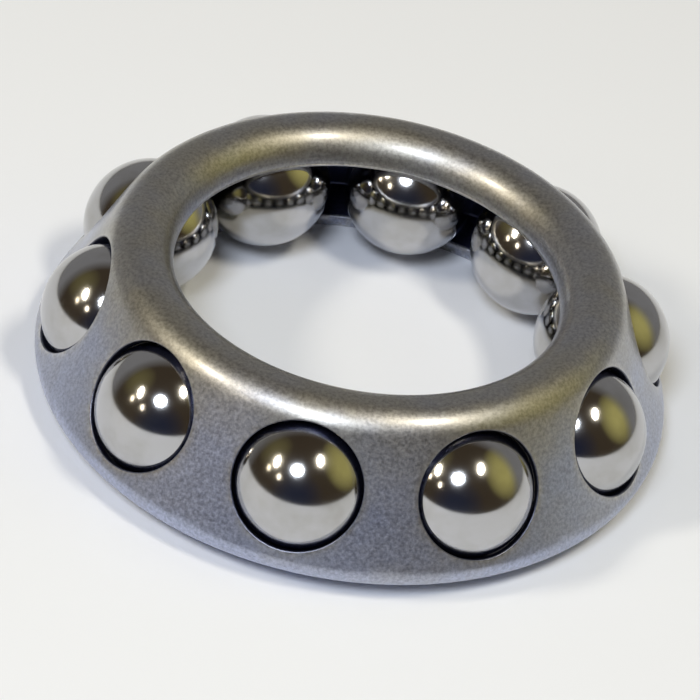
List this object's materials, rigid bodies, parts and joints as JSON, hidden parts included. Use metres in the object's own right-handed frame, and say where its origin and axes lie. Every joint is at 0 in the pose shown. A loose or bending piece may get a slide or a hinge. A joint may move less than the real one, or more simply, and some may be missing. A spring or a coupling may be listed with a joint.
{
  "type": "thrust ball bearing",
  "caption": "Caged thrust ball bearing without its races: steel balls held in the round pockets of a pressed conical channel ring with a rolled top edge.",
  "frame": {"origin": "centre of the ring, on the plane that the cage stands on", "axes": "+Z along the ring's axis towards its small end; -Y towards ball 01, and the balls are numbered anticlockwise seen from +Z"},
  "size_m": [0.0368, 0.0368, 0.0098],
  "materials": {
    "pressed_steel": "tumbled satin, lightly oiled",
    "ball_steel": "lapped and polished"
  },
  "bodies": {
    "cage": {"cage": "pressed_steel"},
    "ball_01": {"ball_01": "ball_steel"},
    "ball_02": {"ball_02": "ball_steel"},
    "ball_03": {"ball_03": "ball_steel"},
    "ball_04": {"ball_04": "ball_steel"},
    "ball_05": {"ball_05": "ball_steel"},
    "ball_06": {"ball_06": "ball_steel"},
    "ball_07": {"ball_07": "ball_steel"},
    "ball_08": {"ball_08": "ball_steel"},
    "ball_09": {"ball_09": "ball_steel"},
    "ball_10": {"ball_10": "ball_steel"}
  },
  "joints": [
    {"name": "ball_01_roll", "type": "hinge", "parent": "cage", "child": "ball_01", "pos_m": [0, -0.01435, 0.00451], "axis": [0, 0.4617, 0.887], "continuous": true},
    {"name": "ball_02_roll", "type": "hinge", "parent": "cage", "child": "ball_02", "pos_m": [0.00843, -0.01161, 0.00451], "axis": [-0.2714, 0.3736, 0.887], "continuous": true},
    {"name": "ball_03_roll", "type": "hinge", "parent": "cage", "child": "ball_03", "pos_m": [0.01365, -0.00443, 0.00451], "axis": [-0.4391, 0.1427, 0.887], "continuous": true},
    {"name": "ball_04_roll", "type": "hinge", "parent": "cage", "child": "ball_04", "pos_m": [0.01365, 0.00443, 0.00451], "axis": [-0.4391, -0.1427, 0.887], "continuous": true},
    {"name": "ball_05_roll", "type": "hinge", "parent": "cage", "child": "ball_05", "pos_m": [0.00843, 0.01161, 0.00451], "axis": [-0.2714, -0.3736, 0.887], "continuous": true},
    {"name": "ball_06_roll", "type": "hinge", "parent": "cage", "child": "ball_06", "pos_m": [0, 0.01435, 0.00451], "axis": [0, -0.4617, 0.887], "continuous": true},
    {"name": "ball_07_roll", "type": "hinge", "parent": "cage", "child": "ball_07", "pos_m": [-0.00843, 0.01161, 0.00451], "axis": [0.2714, -0.3736, 0.887], "continuous": true},
    {"name": "ball_08_roll", "type": "hinge", "parent": "cage", "child": "ball_08", "pos_m": [-0.01365, 0.00443, 0.00451], "axis": [0.4391, -0.1427, 0.887], "continuous": true},
    {"name": "ball_09_roll", "type": "hinge", "parent": "cage", "child": "ball_09", "pos_m": [-0.01365, -0.00443, 0.00451], "axis": [0.4391, 0.1427, 0.887], "continuous": true},
    {"name": "ball_10_roll", "type": "hinge", "parent": "cage", "child": "ball_10", "pos_m": [-0.00843, -0.01161, 0.00451], "axis": [0.2714, 0.3736, 0.887], "continuous": true}
  ]
}
